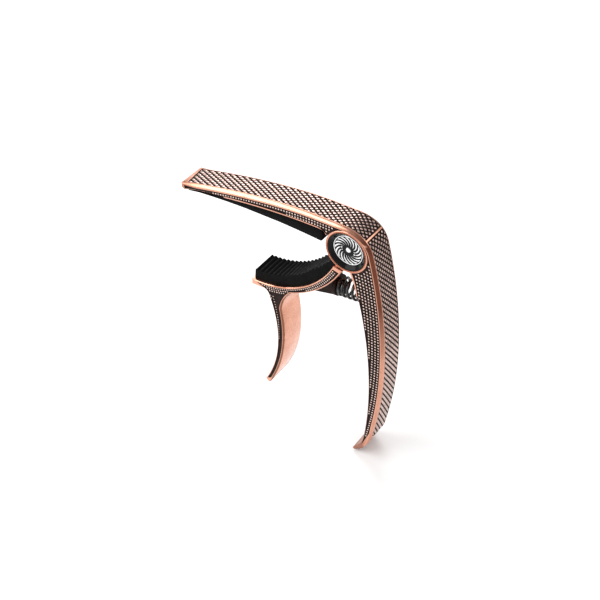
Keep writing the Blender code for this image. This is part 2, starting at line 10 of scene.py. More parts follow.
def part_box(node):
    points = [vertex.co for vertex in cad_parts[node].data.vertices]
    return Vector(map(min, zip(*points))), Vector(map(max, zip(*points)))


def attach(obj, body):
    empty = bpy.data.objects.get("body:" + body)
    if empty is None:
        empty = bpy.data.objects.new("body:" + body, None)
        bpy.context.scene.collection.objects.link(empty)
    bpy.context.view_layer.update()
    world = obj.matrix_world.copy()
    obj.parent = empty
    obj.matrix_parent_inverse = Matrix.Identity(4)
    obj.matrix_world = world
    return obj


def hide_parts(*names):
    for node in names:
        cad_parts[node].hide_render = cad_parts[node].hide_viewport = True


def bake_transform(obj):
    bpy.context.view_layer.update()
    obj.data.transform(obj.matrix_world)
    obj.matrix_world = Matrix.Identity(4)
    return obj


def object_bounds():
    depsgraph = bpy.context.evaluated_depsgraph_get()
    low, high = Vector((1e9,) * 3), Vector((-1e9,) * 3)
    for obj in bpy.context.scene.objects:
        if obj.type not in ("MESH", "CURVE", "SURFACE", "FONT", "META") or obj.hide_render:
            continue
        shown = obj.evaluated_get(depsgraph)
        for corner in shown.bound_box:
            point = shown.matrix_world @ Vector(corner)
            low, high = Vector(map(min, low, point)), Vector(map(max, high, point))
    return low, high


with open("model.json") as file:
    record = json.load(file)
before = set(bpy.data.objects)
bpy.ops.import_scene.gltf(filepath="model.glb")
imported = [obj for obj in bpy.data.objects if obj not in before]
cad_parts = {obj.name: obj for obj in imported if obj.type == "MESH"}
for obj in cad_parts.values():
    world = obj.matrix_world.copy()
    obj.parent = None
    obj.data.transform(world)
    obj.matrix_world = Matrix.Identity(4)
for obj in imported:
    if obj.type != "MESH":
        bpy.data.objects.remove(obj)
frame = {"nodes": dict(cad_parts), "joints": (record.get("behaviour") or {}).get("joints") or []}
cad_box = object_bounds()

# Studio
# A seamless pale floor just under the hook, a softbox above and behind, a key from the front left and a
# weak fill from the right. The camera looks down on the bar's top from the front right.
MM = 0.001
lowest = cad_box[0].z

camera_data = bpy.data.cameras.new("studio_camera")
camera_data.lens = 66.18
camera_data.clip_start = 0.01
camera = bpy.data.objects.new("studio_camera", camera_data)
camera.location = (0.169965, -0.220249, 0.203988)
camera.rotation_euler = Euler([math.radians(angle) for angle in (48.942, 1.405, 34.744)])
bpy.context.scene.collection.objects.link(camera)
bpy.context.scene.camera = camera
bpy.context.scene.view_settings.view_transform = "Standard"

def new_material(name, colour, roughness, metallic):
    """A Principled material, with its node tree and its shader."""
    material = bpy.data.materials.new(name)
    material.use_nodes = True
    shader = material.node_tree.nodes["Principled BSDF"]
    shader.inputs["Base Color"].default_value = (*colour, 1)
    shader.inputs["Roughness"].default_value = roughness
    shader.inputs["Metallic"].default_value = metallic
    return material, material.node_tree, shader

def softbox(name, spot, target, size, power):
    light = bpy.data.lights.new(name, "AREA")
    light.shape = "RECTANGLE"
    light.size, light.size_y = size
    light.energy = power
    lamp = bpy.data.objects.new(name, light)
    lamp.location = spot
    lamp.rotation_euler = (Vector(target) - Vector(spot)).to_track_quat("-Z", "Y").to_euler()
    bpy.context.scene.collection.objects.link(lamp)

softbox("rear_softbox", (-0.38, 0.48, 0.41), (0, 0, 0), (0.45, 0.45), 2.8)
softbox("key_softbox", (-0.45, -0.31, 0.345), (0, 0, 0), (0.7, 0.5), 3.4)
softbox("fill_softbox", (0.55, 0.25, 0.45), (0.02, 0, -0.04), (0.4, 0.4), 0.8)

world = bpy.data.worlds.new("studio")
world.use_nodes = True
world.node_tree.nodes["Background"].inputs["Color"].default_value = (1, 1, 1, 1)
world.node_tree.nodes["Background"].inputs["Strength"].default_value = 0.70
bpy.context.scene.world = world

floor_shape = bmesh.new()
bmesh.ops.create_grid(floor_shape, x_segments=1, y_segments=1, size=3)
bmesh.ops.translate(floor_shape, vec=(0, 0, lowest - 0.4 * MM), verts=floor_shape.verts)
floor_mesh = bpy.data.meshes.new("studio_floor")
floor_shape.to_mesh(floor_mesh)
floor_shape.free()
studio_floor = bpy.data.objects.new("studio_floor", floor_mesh)
bpy.context.scene.collection.objects.link(studio_floor)
floor_mesh.materials.append(new_material("pale_paper", (0.93, 0.93, 0.93), 0.9, 0.0)[0])

# Upper frame
# The upper frame is one zinc die casting: a bar over the strings and a long handle that ends in a hook.
# It is plated in red copper, blackened, and polished again on the bands, the rims and the boss. The
# panels between the bands are sunk, and stay dark.
hinge = frame["joints"][0]["pos_m"]
PIVOT_X, PIVOT_Z = hinge[0], hinge[2]
frame_low, frame_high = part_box("upper_frame")
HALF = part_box("lower_arm")[1].y
TIP_X = frame_low.x
HOOK_Z = frame_low.z
OUT_X = frame_high.x
CROWN_Z = frame_high.z
TIP_DROP = 7.75 * MM
WAIST = 5.2 * MM
UNDER_Z = 4.5 * MM
UNDER_DROP = 5.7 * MM
BAND = 1.05 * MM  # polished band along the outer edges
EDGE = 0.3 * MM  # broken edge on the inner side
SUNK = 0.28 * MM  # depth of the knurled panels
BOSS_RADIUS = 7.37 * MM
BOSS_FACE = frame_high.y
BADGE_RADIUS = 6.67 * MM

def stations(start, end, steps):
    return [start + (end - start) * i / steps for i in range(steps + 1)]

def bend(start, corner, end, steps):
    """The points between start and end of a smooth bend that heads for the corner."""
    points = []
    for t in stations(0, 1, steps)[1:-1]:
        ways = zip(start, corner, end)
        points.append(tuple((1 - t) ** 2 * a + 2 * t * (1 - t) * b + t**2 * c for a, b, c in ways))
    return points

def bar_fall(x, tip):
    crown = PIVOT_X - 11.5 * MM
    return max(0, (crown - x) / (crown - tip))

def bar_top(x):
    return CROWN_Z - TIP_DROP * bar_fall(x, TIP_X) ** 1.65

def bar_underside(x):
    return UNDER_Z - UNDER_DROP * bar_fall(x, TIP_X + 2 * MM) ** 1.85

def handle_outer(z):
    radius = 170 * MM
    return OUT_X - radius + math.sqrt(radius**2 - (z - PIVOT_Z + 39.6 * MM) ** 2)

def handle_inner(z):
    radius = 165 * MM
    return OUT_X - WAIST - radius + math.sqrt(radius**2 - (z - PIVOT_Z + 54.6 * MM) ** 2)

def outer_line():
    """The casting's outer line, from the bar's tip over the shoulder and down to the hook's toe."""
    points = [(x, bar_top(x)) for x in stations(TIP_X + 0.4 * MM, PIVOT_X - 2.5 * MM, 48)]
    shoulder_z = PIVOT_Z + 0.8 * MM
    shoulder = (handle_outer(shoulder_z), shoulder_z)
    points += bend(points[-1], (shoulder[0] - 1.6 * MM, CROWN_Z - 0.1 * MM), shoulder, 21)
    points += [(handle_outer(z), z) for z in stations(shoulder_z, HOOK_Z + 8.5 * MM, 56)]
    toe = (OUT_X - 10.3 * MM, HOOK_Z)
    return points + bend(points[-1], (points[-1][0] - 1.9 * MM, HOOK_Z + 2 * MM), toe, 18) + [toe]

def inner_line():
    """Back from the hook's toe, up the handle, round the boss and along the bar's underside."""
    hook_x = OUT_X - 11 * MM
    hook_tip = (hook_x + 0.5 * MM, HOOK_Z + 1.5 * MM)
    points = [(hook_x, HOOK_Z + 0.5 * MM), hook_tip]
    inner_low = (handle_inner(HOOK_Z + 10 * MM), HOOK_Z + 10 * MM)
    points += bend(hook_tip, (inner_low[0] - 0.8 * MM, HOOK_Z + 4.2 * MM), inner_low, 15)
    points += [(handle_inner(z), z) for z in stations(inner_low[1], PIVOT_Z - 16.4 * MM, 40)]
    step = (points[-1][0] - 0.8 * MM, points[-1][1] + MM)
    root = (PIVOT_X + 1.2 * MM, PIVOT_Z - 8.2 * MM)
    points += [step] + bend(step, (PIVOT_X + 2.9 * MM, PIVOT_Z - 11 * MM), root, 8)
    inside = PIVOT_X - BOSS_RADIUS * 0.6
    points += [(PIVOT_X, PIVOT_Z - 5 * MM), (inside, PIVOT_Z), (inside, UNDER_Z - 0.6 * MM)]
    fillet = (PIVOT_X - BOSS_RADIUS - 0.1 * MM, UNDER_Z - 1.3 * MM)
    points += [fillet]
    points += bend(fillet, (fillet[0] - 0.6 * MM, UNDER_Z), (fillet[0] - 2.6 * MM, UNDER_Z), 8)
    points += [(x, bar_underside(x)) for x in stations(fillet[0] - 3.2 * MM, TIP_X + 1.7 * MM, 40)]
    tip_z = bar_top(TIP_X)
    return points + [(TIP_X + 0.5 * MM, tip_z - 1.5 * MM), (TIP_X, tip_z - 0.7 * MM)]

def tangents(points, closed=True):
    """The direction of travel at each point of a line."""
    found = []
    for i in range(len(points)):
        before = points[i - 1] if closed or i else points[0]
        after = points[(i + 1) % len(points)] if closed or i + 1 < len(points) else points[-1]
        found.append(Vector((after[0] - before[0], after[1] - before[1])).normalized())
    return found

def inset_line(points, widths, closed=True):
    """A line that runs clockwise, moved to its right by its own width at each point."""
    return [
        (x + along.y * width, z - along.x * width)
        for (x, z), along, width in zip(points, tangents(points, closed), widths)
    ]

def grow(rings, material_index=0):
    """Extrudes a face through rings that have one point for each of its corners."""
    shape = bmesh.new()
    face = shape.faces.new([shape.verts.new(point) for point in rings[0]])
    for number, ring in enumerate(rings[1:]):
        last = face
        grown = bmesh.ops.extrude_face_region(shape, geom=[face])["geom"]
        face = next(part for part in grown if isinstance(part, bmesh.types.BMFace))
        if number:
            bmesh.ops.delete(shape, geom=[last], context="FACES_ONLY")
        for vert, point in zip(face.verts, ring):
            vert.co = point
    bmesh.ops.recalc_face_normals(shape, faces=shape.faces)
    for part in shape.faces:
        part.material_index = material_index
    return shape

def banded(outline, widths, half):
    """A flat casting whose edges carry a softly rounded band of its own width at each point."""
    rings = []
    for inward, up in ((1, 0), (0.82, 0.06), (0.55, 0.22), (0.22, 0.55), (0.06, 0.82), (0, 1)):
        line = inset_line(outline, [width * inward for width in widths])
        rings.append([(x, -half + width * up, z) for (x, z), width in zip(line, widths)])
    far = [[(x, -y, z) for x, y, z in ring] for ring in reversed(rings)]
    return grow(rings + far)

def slab(outline, low, high, material_index=0):
    """A flat outline in X and Z made solid from low to high along Y."""
    return grow([[(x, y, z) for x, z in outline] for y in (low, high)], material_index)

def cylinder(place, radius, length, sides, material_index):
    """A plain round solid along its own Z, put in place by a matrix."""
    shape = bmesh.new()
    bmesh.ops.create_cone(shape, cap_ends=True, segments=sides, radius1=radius, radius2=radius, depth=length)
    bmesh.ops.transform(shape, matrix=place, verts=shape.verts)
    for part in shape.faces:
        part.material_index = material_index
    return shape

def drum(centre, radius, low, high, material_index):
    """A plain round solid along Y."""
    middle = Matrix.Translation((centre[0], (low + high) / 2, centre[1]))
    return cylinder(middle @ Matrix.Rotation(math.pi / 2, 4, "X"), radius, high - low, 96, material_index)

def turned(profile):
    """Turns a line of (radius, Y) points about the pivot's line."""
    shape = bmesh.new()
    points = [shape.verts.new((PIVOT_X + radius, y, PIVOT_Z)) for radius, y in profile]
    edges = [shape.edges.new(pair) for pair in zip(points, points[1:])]
    bmesh.ops.spin(
        shape, geom=points + edges, cent=(PIVOT_X, 0, PIVOT_Z), axis=(0, 1, 0), angle=math.tau, steps=96,
        use_merge=True,
    )
    bmesh.ops.remove_doubles(shape, verts=shape.verts, dist=MM / 1000)
    bmesh.ops.recalc_face_normals(shape, faces=shape.faces)
    return shape

def piece_of(name, shape, *materials):
    mesh = bpy.data.meshes.new(name)
    shape.to_mesh(mesh)
    shape.free()
    for material in materials:
        mesh.materials.append(material)
    piece = bpy.data.objects.new(name, mesh)
    bpy.context.scene.collection.objects.link(piece)
    return piece

def carve(piece, steps):
    """Joins or cuts the piece with each shape in turn, and keeps the result as its mesh."""
    tools = []
    for operation, shape in steps:
        tool = piece_of(piece.name + "_tool", shape, *piece.data.materials)
        tools.append(tool)
        modifier = piece.modifiers.new("carve", "BOOLEAN")
        modifier.operation = operation
        modifier.solver = "EXACT"
        modifier.object = tool
    settle(piece)
    for tool in tools:
        bpy.data.objects.remove(tool)

def settle(piece):
    """Keeps the piece's modifiers as its mesh, and closes the slivers that a Boolean can leave open."""
    mesh = bpy.data.meshes.new_from_object(piece.evaluated_get(bpy.context.evaluated_depsgraph_get()))
    mesh.name = piece.name
    shape = bmesh.new()
    shape.from_mesh(mesh)
    bmesh.ops.holes_fill(shape, edges=[edge for edge in shape.edges if edge.is_boundary], sides=0)
    shape.to_mesh(mesh)
    shape.free()
    piece.modifiers.clear()
    piece.data = mesh

def shade(piece, angle=28):
    piece.data.shade_smooth()
    piece.data.set_sharp_from_angle(angle=math.radians(angle))

def add_noise(tree, scale, detail):
    """A noise texture on the piece's own coordinates."""
    place = tree.nodes.new("ShaderNodeTexCoord")
    noise = tree.nodes.new("ShaderNodeTexNoise")
    noise.inputs["Scale"].default_value = scale
    noise.inputs["Detail"].default_value = detail
    noise.inputs["Roughness"].default_value = 0.55
    tree.links.new(place.outputs["Object"], noise.inputs["Vector"])
    return noise.outputs["Fac"]

def add_ramp(tree, value, *stops):
    """A colour ramp. Each stop is a place and a grey or a colour."""
    ramp = tree.nodes.new("ShaderNodeValToRGB")
    points = ramp.color_ramp.elements
    while len(points) < len(stops):
        points.new(0.5)
    for point, (place, colour) in zip(points, stops):
        point.position = place
        point.color = (*colour, 1) if isinstance(colour, tuple) else (colour, colour, colour, 1)
    tree.links.new(value, ramp.inputs["Fac"])
    return ramp.outputs["Color"]

def add_mix(tree, share, first, second, blend="MIX"):
    """Mixes two colours. share is a socket or a number, and each colour is a socket or a colour."""
    mix = tree.nodes.new("ShaderNodeMix")
    mix.data_type = "RGBA"
    mix.blend_type = blend
    for socket, value in ((0, share), (6, first), (7, second)):
        if isinstance(value, bpy.types.NodeSocket):
            tree.links.new(value, mix.inputs[socket])
        elif socket:
            mix.inputs[socket].default_value = (*value, 1)
        else:
            mix.inputs[socket].default_value = value
    return mix.outputs[2]

def add_bump(tree, shader, height, strength, distance):
    bump = tree.nodes.new("ShaderNodeBump")
    bump.inputs["Strength"].default_value = strength
    bump.inputs["Distance"].default_value = distance
    tree.links.new(height, bump.inputs["Height"])
    tree.links.new(bump.outputs["Normal"], shader.inputs["Normal"])

def drift(tree, shader, socket, value, *stops):
    """Lets one of the shader's values follow another through a ramp."""
    tree.links.new(add_ramp(tree, value, *stops), shader.inputs[socket])

COPPER_LIGHT = (0.79, 0.40, 0.285)
COPPER_WARM = (0.58, 0.26, 0.16)
PATINA = (0.014, 0.008, 0.007)

def polished_copper(name):
    """Rubbed copper with warm clouds and pits, and dark brown where the attribute stored on each point is
    low:
    blackening left in places, and a painted dark reflection along the middle of the bands.
    """
    roughness = 0.22
    material, tree, shader = new_material(name, COPPER_LIGHT, roughness, 1.0)
    clouds = add_ramp(tree, add_noise(tree, 160, 4), (0.35, 0.0), (0.8, 0.7))
    colour = add_mix(tree, clouds, COPPER_LIGHT, COPPER_WARM)
    pits = add_ramp(tree, add_noise(tree, 2600, 2), (0.66, 0.0), (0.74, 0.75))
    colour = add_mix(tree, pits, colour, PATINA)
    # Low stored values turn the copper dark brown: blackening left in places, and a painted dark reflection
    # in the middle of the bands.
    rubbed = tree.nodes.new("ShaderNodeAttribute")
    rubbed.attribute_name = "rubbed"
    colour = add_mix(tree, rubbed.outputs["Fac"], (0.10, 0.022, 0.010), colour)
    tree.links.new(colour, shader.inputs["Base Color"])
    wear = add_noise(tree, 700, 4)
    drift(tree, shader, "Roughness", wear, (0.35, roughness * 0.8), (0.7, roughness * 1.5))
    add_bump(tree, shader, add_noise(tree, 1400, 3), 0.12, 0.05 * MM)
    return material

def dark_patina_and_shade():
    """The blackened floor of the sunk panels, with a little brown copper showing through. Also laid on the
    arm's knuckle, tongue, web and spring seat; on the web its dark is partly painted shade.
    """
    material, tree, shader = new_material("copper_patina", PATINA, 0.6, 0.0)
    black, brown = (0.012, 0.006, 0.005), (0.050, 0.022, 0.016)
    drift(tree, shader, "Base Color", add_noise(tree, 900, 4), (0.45, black), (0.85, brown))
    shader.inputs["Specular IOR Level"].default_value = 0.12
    add_bump(tree, shader, add_noise(tree, 3000, 3), 0.4, 0.06 * MM)
    return material

copper = polished_copper("antique_copper")
patina_and_shade = dark_patina_and_shade()

def frame_widths(points):
    """The band's width at each point of the frame's outline."""
    widths = []
    for (x, z), along in zip(points, tangents(points)):
        outward = (-along.y, along.x)
        on_top = outward[1] > 0.7 and z > CROWN_Z - TIP_DROP
        share = min(1, max(0, (z - HOOK_Z) / (16 * MM)), max(0, (x - TIP_X) / (6 * MM)))
        widths.append(EDGE + (BAND - EDGE) * share if outward[0] > 0.15 or on_top else EDGE)
    return widths

OUTER = outer_line()
OUTER_LENGTHS = [0.0]
for start, end in zip(OUTER, OUTER[1:]):
    OUTER_LENGTHS.append(OUTER_LENGTHS[-1] + math.dist(start, end))
OUTER_ROWS = np.array([(*point, *along) for point, along in zip(OUTER, tangents(OUTER, closed=False))]).T

def on_outer(distance, across, out):
    """A point over the casting's outer face: distance from the tip, place across, and height."""
    x, z, along_x, along_z = (float(np.interp(distance, OUTER_LENGTHS, row)) for row in OUTER_ROWS)
    return Vector((x - along_z * out, across, z + along_x * out))

PANEL_HALF = HALF - BAND - 0.08 * MM
SEAM = 70.9 * MM  # the fine raised line over the shoulder, measured from the tip
SEAM_HALF = 0.28 * MM
SINK = 0.03 * MM  # how far raised work is let into the floor that it stands on
# Each panel runs between two lines across the outer face: the distance where the line crosses the
# middle, and how far it moves on for each millimetre towards the far side.
BAR_PANEL = ((1.6 * MM, -0.12), (SEAM - SEAM_HALF, 0))
HANDLE_PANEL = ((SEAM + SEAM_HALF, 0), (157.4 * MM, 0.8))

def clip(shape, start, end, half):
    """Keeps what lies between two slanting lines, and within half of the middle."""
    cuts = [((start[0], 0, 0), (-1, start[1], 0)), ((end[0], 0, 0), (1, -end[1], 0))]
    cuts += [((0, half, 0), (0, 1, 0)), ((0, -half, 0), (0, -1, 0))]
    for spot, away in cuts:
        geometry = shape.verts[:] + shape.edges[:] + shape.faces[:]
        bmesh.ops.bisect_plane(shape, geom=geometry, plane_co=spot, plane_no=away, clear_outer=True)

def thicken(shape, low, high):
    """Makes a flat sheet solid, and returns its top faces."""
    grown = bmesh.ops.extrude_face_region(shape, geom=shape.faces[:])["geom"]
    top = {part for part in grown if isinstance(part, bmesh.types.BMVert)}
    for vert in shape.verts:
        vert.co.z = high if vert in top else low
    bmesh.ops.recalc_face_normals(shape, faces=shape.faces)
    return [part for part in grown if isinstance(part, bmesh.types.BMFace)]

def raise_lands(shape, height, crown, round_off):
    """Turns each island of a flat sheet into a closed, soft-topped land, rubbed bright at its top."""
    polish = shape.verts.layers.float.new("polish")
    top = thicken(shape, -SINK, height - crown)
    for vert in {vert for face in top for vert in face.verts}:
        vert[polish] = 0.55
    bmesh.ops.inset_region(
        shape, faces=top, thickness=round_off, depth=crown, use_even_offset=True, use_boundary=True
    )
    for vert in {vert for face in top for vert in face.verts}:
        vert[polish] = 1.0

def lay(shape, place):
    """Puts each point of a flat shape where place says: along, across and height."""
    for vert in shape.verts:
        vert.co = place(*vert.co)
    bmesh.ops.recalc_face_normals(shape, faces=shape.faces)
    return shape

def outer_recess(start, end):
    """A cutter that sinks the outer face between two lines across it."""
    spare = 5 * MM
    marks = stations(start[0] - spare * bool(start[1]), end[0] + spare * bool(end[1]), 90)
    over = [on_outer(mark, 0, MM) for mark in marks]
    under = [on_outer(mark, 0, -SUNK) for mark in reversed(marks)]
    shape = slab([(point.x, point.z) for point in over + under], -PANEL_HALF, PANEL_HALF, 1)
    for (distance, slant), way in ((start, -1), (end, 1)):
        if slant:
            spot, ahead = on_outer(distance, 0, 0), on_outer(distance + MM, 0, 0)
            away = (ahead - spot).normalized() * way - Vector((0, slant * way, 0))
            geometry = shape.verts[:] + shape.edges[:] + shape.faces[:]
            bmesh.ops.bisect_plane(shape, geom=geometry, plane_co=spot, plane_no=away, clear_outer=True)
            bmesh.ops.holes_fill(shape, edges=[edge for edge in shape.edges if edge.is_boundary])
    for face in shape.faces:
        face.material_index = 1
    bmesh.ops.recalc_face_normals(shape, faces=shape.faces)
    return shape

def side_panel():
    """The sunk panel on the casting's side: all of it within the bands, running in under the boss."""
    last = max(i for i, point in enumerate(OUTER) if point[1] > HOOK_Z + 9.5 * MM)
    first = min(i for i, point in enumerate(OUTER) if point[0] > TIP_X + 1.3 * MM)
    widths = [width + 0.13 * MM for width in frame_widths(OUTER)]
    points = inset_line(OUTER[first:last], widths[first:last], closed=False)
    points.append((OUT_X - 7.45 * MM, HOOK_Z + 4.3 * MM))
    rising = stations(HOOK_Z + 9.5 * MM, PIVOT_Z - 16.9 * MM, 50)
    points += [(handle_inner(z) + EDGE + 0.05 * MM, z) for z in rising]
    step = (handle_inner(PIVOT_Z - 16.4 * MM) - 0.2 * MM, PIVOT_Z - 15.3 * MM)
    root = (PIVOT_X + 1.9 * MM, PIVOT_Z - 7.4 * MM)
    points += [step] + bend(step, (PIVOT_X + 3.5 * MM, PIVOT_Z - 10.8 * MM), root, 8) + [root]
    low = PIVOT_X - BOSS_RADIUS
    points += [(PIVOT_X, PIVOT_Z), (low + 0.6 * MM, UNDER_Z - 1.1 * MM)]
    points += [(low - 0.9 * MM, UNDER_Z - 0.1 * MM), (low - 1.9 * MM, UNDER_Z + 0.4 * MM)]
    underside = stations(low - 3 * MM, TIP_X + 1.9 * MM, 40)
    return points + [(x, bar_underside(x) + EDGE + 0.3 * MM) for x in underside]

def both_sides(outline):
    """Shallow cutters that sink a panel on the near side and on the far side."""
    floor = HALF - SUNK
    yield "DIFFERENCE", slab(outline, -HALF - MM, -floor, 1)
    yield "DIFFERENCE", slab(outline, floor, HALF + MM, 1)

def boss_profile():
    """The boss's section: on each side a rim of two fine lines with a groove between them."""
    side = [
        (BOSS_RADIUS, BOSS_FACE - 0.55 * MM), (BOSS_RADIUS, BOSS_FACE - 0.08 * MM),
        (BOSS_RADIUS - 0.08 * MM, BOSS_FACE), (BOSS_RADIUS - 0.22 * MM, BOSS_FACE),
        (BOSS_RADIUS - 0.28 * MM, BOSS_FACE - 0.16 * MM), (BOSS_RADIUS - 0.46 * MM, BOSS_FACE - 0.16 * MM),
        (BOSS_RADIUS - 0.52 * MM, BOSS_FACE), (BADGE_RADIUS - 0.4 * MM, BOSS_FACE), (0, BOSS_FACE),
    ]
    return [(r, -y) for r, y in reversed(side)] + side

OUTLINE = OUTER + inner_line()
slot_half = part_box("thrust_washer_far")[1].y + 0.1 * MM
bezel_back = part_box("badge_bezel_far")[0].y - 0.1 * MM
sweep = [(PIVOT_X, PIVOT_Z)]
for angle in stations(-158, -77, 10):
    turn = math.radians(angle)
    reach = BOSS_RADIUS + 2.4 * MM
    sweep.append((PIVOT_X + reach * math.cos(turn), PIVOT_Z + reach * math.sin(turn)))
SPRING_TILT = math.radians(5)
SPRING_MIDDLE = Vector((PIVOT_X + 0.23 * MM, 0, PIVOT_Z - 18.5 * MM))
ON_SPRING = Matrix.Translation(SPRING_MIDDLE) @ Matrix.Rotation(-SPRING_TILT, 4, "Y")

def rod(radius, low, high, material_index):
    """A round solid on the spring's tilted line, from low to high about the spring's middle."""
    middle = Matrix.Translation(((low + high) / 2, 0, 0)) @ Matrix.Rotation(math.pi / 2, 4, "Y")
    return cylinder(ON_SPRING @ middle, radius, high - low, 48, material_index)

def tip_corner(side):
    """A cutter that rounds one corner of the bar's tip, seen from above."""
    radius = 1.3 * MM
    points = [(TIP_X - MM, HALF + MM), (TIP_X - MM, HALF - radius)]
    for angle in stations(180, 90, 12):
        turn = math.radians(angle)
        across = HALF - radius + radius * math.sin(turn)
        points.append((TIP_X + radius + radius * math.cos(turn), across))
    points.append((TIP_X + radius, HALF + MM))
    return grow([[(x, side * y, z) for x, y in points] for z in (-6 * MM, CROWN_Z)])

blank = banded(OUTLINE, frame_widths(OUTLINE), HALF)
upper_casting = piece_of("upper_frame_casting", blank, copper, patina_and_shade)
hub = (PIVOT_X, PIVOT_Z)
carve(
    upper_casting,
    [("DIFFERENCE", outer_recess(*BAR_PANEL)), ("DIFFERENCE", outer_recess(*HANDLE_PANEL))]
    + [("DIFFERENCE", tip_corner(side)) for side in (-1, 1)]
    + list(both_sides(side_panel()))
    + [
        ("UNION", turned(boss_profile())),
        ("DIFFERENCE", drum(hub, BADGE_RADIUS, -BOSS_FACE - MM, -bezel_back, 1)),
        ("DIFFERENCE", drum(hub, BADGE_RADIUS, bezel_back, BOSS_FACE + MM, 1)),
        ("DIFFERENCE", drum(hub, 5.6 * MM, -slot_half, slot_half, 1)),
        ("DIFFERENCE", slab(sweep, 0.1 * MM - slot_half, slot_half - 0.1 * MM, 1)),
        ("DIFFERENCE", drum(hub, 3.1 * MM, -bezel_back - MM, 0.65 * MM - bezel_back, 1)),
        ("DIFFERENCE", drum(hub, 3.1 * MM, bezel_back - 0.65 * MM, bezel_back + MM, 1)),
        ("DIFFERENCE", drum(hub, 1.85 * MM, -HALF, HALF, 1)),
        ("DIFFERENCE", rod(3.8 * MM, -0.3 * MM, 5.73 * MM, 1)),
    ],
)

def store_bright_share(piece, amount):
    """Stores how much bright copper shows at each point of a casting; low values give dark brown, which
    stands for blackening left in places and for a painted dark reflection along the bands.
    """
    values = piece.data.attributes.new("rubbed", "FLOAT", "POINT").data
    for value, vert in zip(values, piece.data.vertices):
        value.value = amount(*vert.co)

def frame_bright_share(x, y, z):
    """Bright on most of the casting; browner at the tip, on the boss's face, along the middle of the outer
    band past the pin, and on the handle's inside. The brown along the band's middle, deepest over the
    shoulder and the upper handle, is a painted dark reflection."""
    across = (HALF - abs(y)) / BAND
    from_pin = math.dist((x, z), hub)
    if abs(y) > BOSS_FACE - 0.02 * MM and from_pin < BOSS_RADIUS - 0.5 * MM:
        return 0.35
    if x < TIP_X + 9 * MM:
        return 0.5 + 0.5 * max(0, (x - TIP_X - 2 * MM) / (7 * MM))
    if z < PIVOT_Z - 16.6 * MM and x < handle_inner(max(z, HOOK_Z + 3 * MM)) + 0.9 * MM:
        return 0.12 if z > HOOK_Z + 9 * MM else 0.4
    # The middle of the rounded outer band: the brown put here is a painted dark reflection.
    dark_reflection_band = 0.03 < across < 0.9 and x > PIVOT_X - 3 * MM
    if dark_reflection_band and (z > PIVOT_Z + 5 * MM or x > handle_outer(min(z, PIVOT_Z)) - 2.6 * MM):
        high = min(1, max(0, (z - PIVOT_Z + 42 * MM) / (24 * MM)))
        return 0.9 - 0.8 * high * min(1, (x - PIVOT_X + 3 * MM) / (9 * MM))
    return 1.0

store_bright_share(upper_casting, frame_bright_share)
shade(upper_casting)
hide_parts("upper_frame")
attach(upper_casting, "frame")

# Knurling
# The outer face is cast with crossed grooves, so that the fingers grip it. Small lozenges stand between
# them on the bar; down the handle the cross cuts fade out and leave long slanting ribs. The grooves are
# blackened and the tops of the lands are rubbed back to pale copper.

def knurl_material(name, tops):
    """Black in the grooves and rubbed copper on the tops, by the height stored on the piece."""
    material, tree, shader = new_material(name, COPPER_LIGHT, 0.3, 1.0)
    height = tree.nodes.new("ShaderNodeAttribute")
    height.attribute_name = "polish"
    uneven = add_mix(tree, 0.22, height.outputs["Color"], (0.5, 0.5, 0.5))
    speckle = add_ramp(tree, add_noise(tree, 1500, 3), (0.3, 0.75), (0.75, 1.15))
    rubbed = add_ramp(tree, add_mix(tree, 1.0, uneven, speckle, "MULTIPLY"), (0.50, 0.0), (0.88, 1.0))
    groove = (0.004, 0.002, 0.002)
    tree.links.new(add_mix(tree, rubbed, groove, tops), shader.inputs["Base Color"])
    drift(tree, shader, "Roughness", rubbed, (0.0, 0.55), (1.0, 0.28))
    drift(tree, shader, "Metallic", rubbed, (0.0, 0.0), (0.4, 1.0))
    shader.inputs["Specular IOR Level"].default_value = 0.06
    add_bump(tree, shader, add_noise(tree, 2400, 2), 0.15, 0.04 * MM)
    return material

class Grooves:
    """One family of slanting grooves: how far apart they are along the face, and at what angle."""

    def __init__(self, side, stops):
        self.at = [MM * i / 10 for i in range(1700)]
        places = [stop[0] * MM for stop in stops]
        pitch = np.interp(self.at, places, [stop[1] * MM for stop in stops])
        lean = np.interp(self.at, places, [math.tan(math.radians(stop[2])) for stop in stops])
        self.count = np.cumsum(0.1 * MM / pitch)
        self.rate = 1 / pitch
        self.across = side / (pitch * lean)
        self.gap = np.interp(self.at, places, [stop[3] for stop in stops])

    def phase(self, s, y):
        return np.interp(s, self.at, self.count) + y * np.interp(s, self.at, self.across)

def crossing(falling, rising, u, v):
    """Where groove u of one family meets groove v of the other: distance from the tip, and place across."""
    s = np.interp(u + v, falling.count + rising.count, falling.at)
    y = np.zeros(len(s))
    for _ in range(9):
        rate_u, rate_v = (np.interp(s, way.at, way.rate) for way in (falling, rising))
        slope_u, slope_v = (np.interp(s, way.at, way.across) for way in (falling, rising))
        miss_u = u - falling.phase(s, y)
        miss_v = v - rising.phase(s, y)
        whole = rate_u * slope_v - slope_u * rate_v
        s += (miss_u * slope_v - miss_v * slope_u) / whole
        y += (rate_u * miss_v - rate_v * miss_u) / whole
    return s, y

